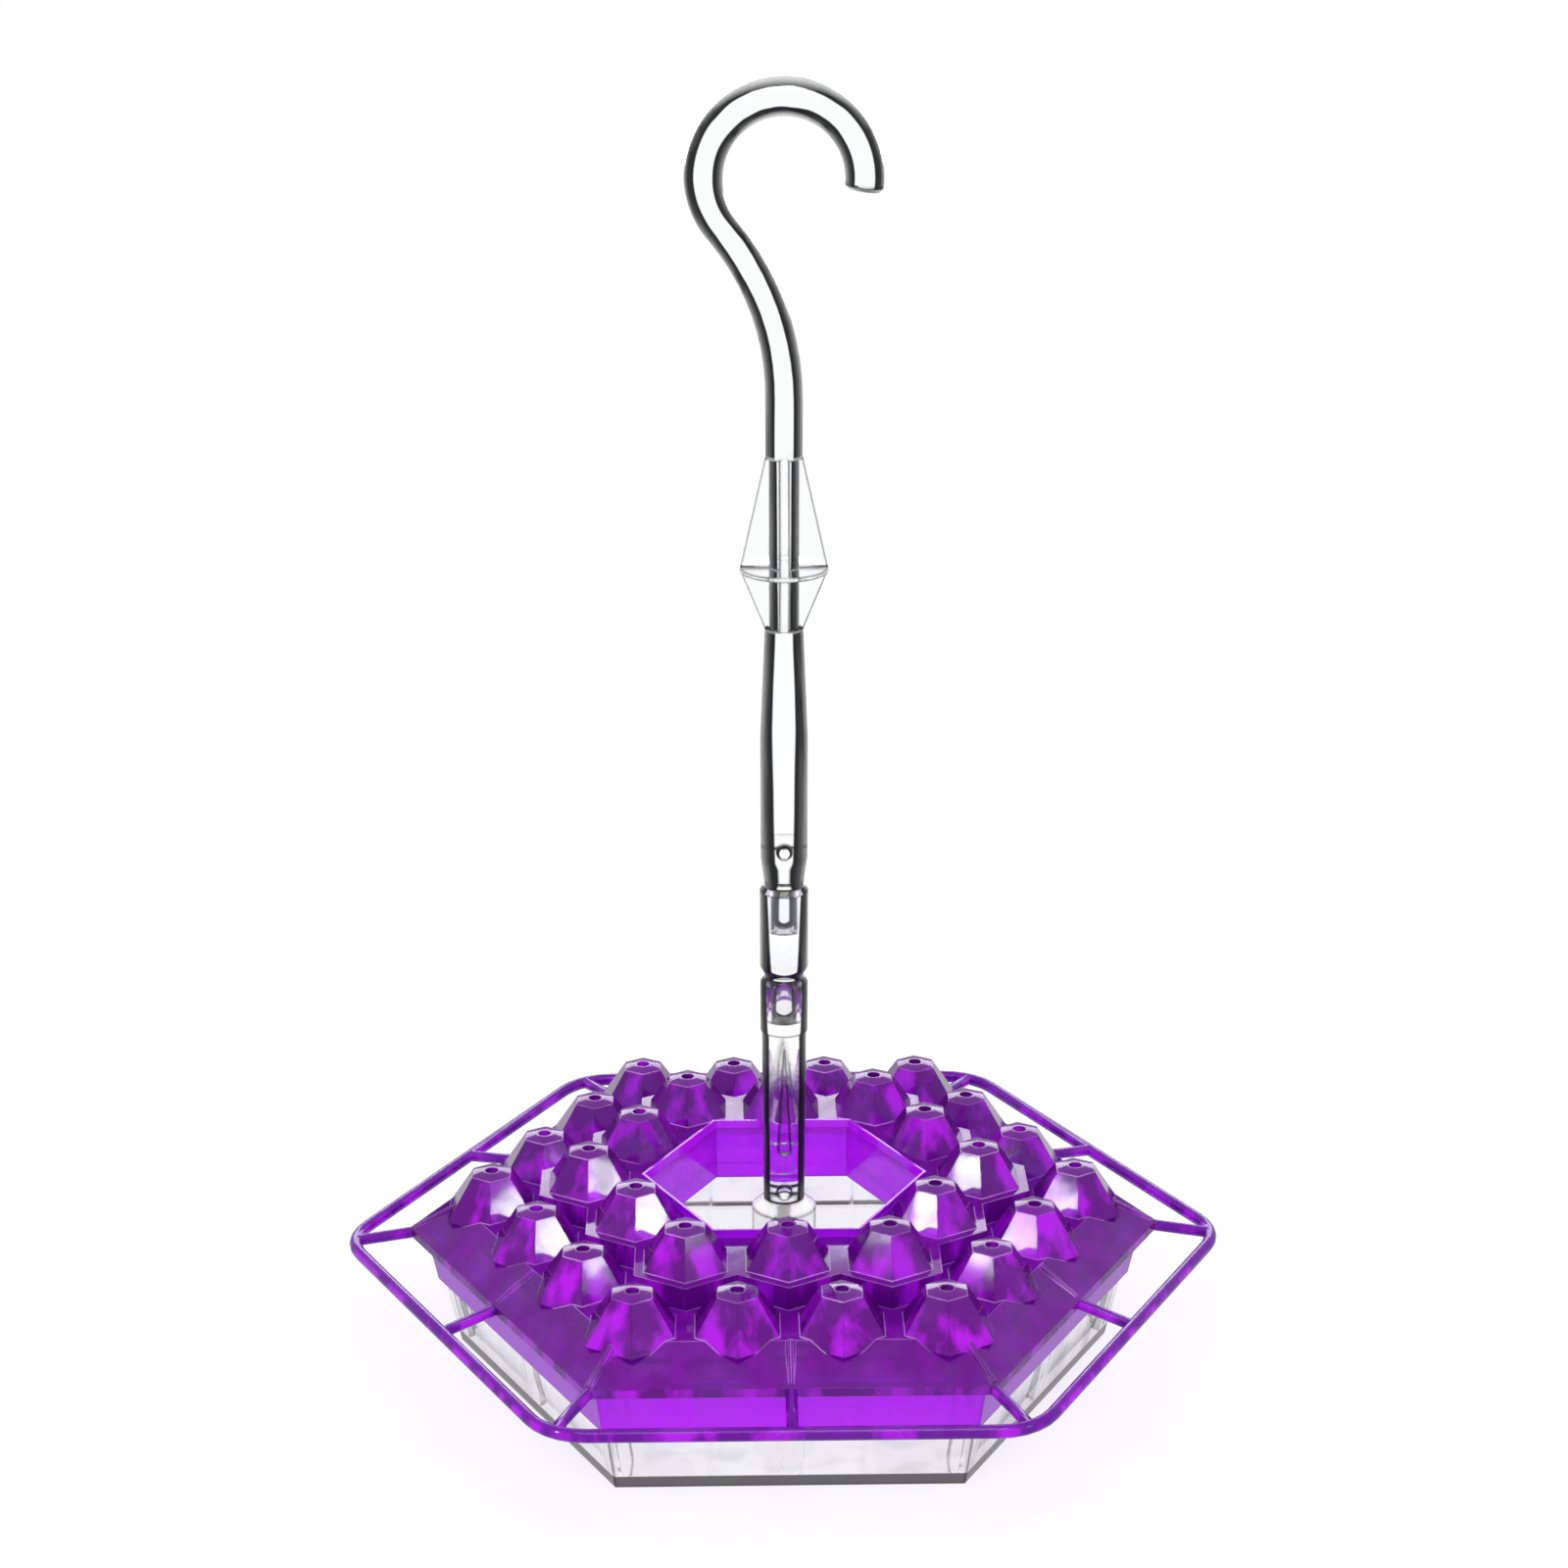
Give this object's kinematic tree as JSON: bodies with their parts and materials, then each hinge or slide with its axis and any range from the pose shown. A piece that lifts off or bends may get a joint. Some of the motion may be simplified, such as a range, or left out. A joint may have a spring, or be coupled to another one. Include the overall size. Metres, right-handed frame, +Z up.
{
  "type": "hummingbird feeder",
  "caption": "Hexagonal dish feeder for hummingbirds: clear tray, purple lid with a honeycomb of feeding ports and a perch, and a plugged hanging rod with a hook.",
  "frame": {"origin": "on the surface that the tray stands on, under the rod's axis", "axes": "+Z up along the rod, +X across two corners of the hexagon towards the side on which the hook is open, -Y towards the viewer of the picture"},
  "size_m": [0.2184, 0.1936, 0.3166],
  "materials": {
    "clear_plastic": "clear moulded plastic, polished",
    "purple_plastic": "see-through violet moulded plastic, polished"
  },
  "bodies": {
    "tray": {"tray": "clear_plastic"},
    "lid": {"lid": "purple_plastic", "collar": "purple_plastic", "skirt": "purple_plastic", "perch": "purple_plastic"},
    "lower_rod": {"lower_rod": "clear_plastic"},
    "middle_rod": {"middle_rod": "clear_plastic"},
    "hook_rod": {"hook_rod": "clear_plastic"}
  },
  "joints": [
    {"name": "lid_lift", "type": "slide", "parent": "tray", "child": "lid", "axis": [0, 0, 1], "range_m": [0, 0.3]},
    {"name": "lower_rod_plug", "type": "slide", "parent": "tray", "child": "lower_rod", "axis": [0, 0, 1], "range_m": [0, 0.012]},
    {"name": "middle_rod_plug", "type": "slide", "parent": "lower_rod", "child": "middle_rod", "axis": [0, 0, 1], "range_m": [0, 0.012]},
    {"name": "hook_rod_plug", "type": "slide", "parent": "middle_rod", "child": "hook_rod", "axis": [0, 0, 1], "range_m": [0, 0.012]}
  ]
}
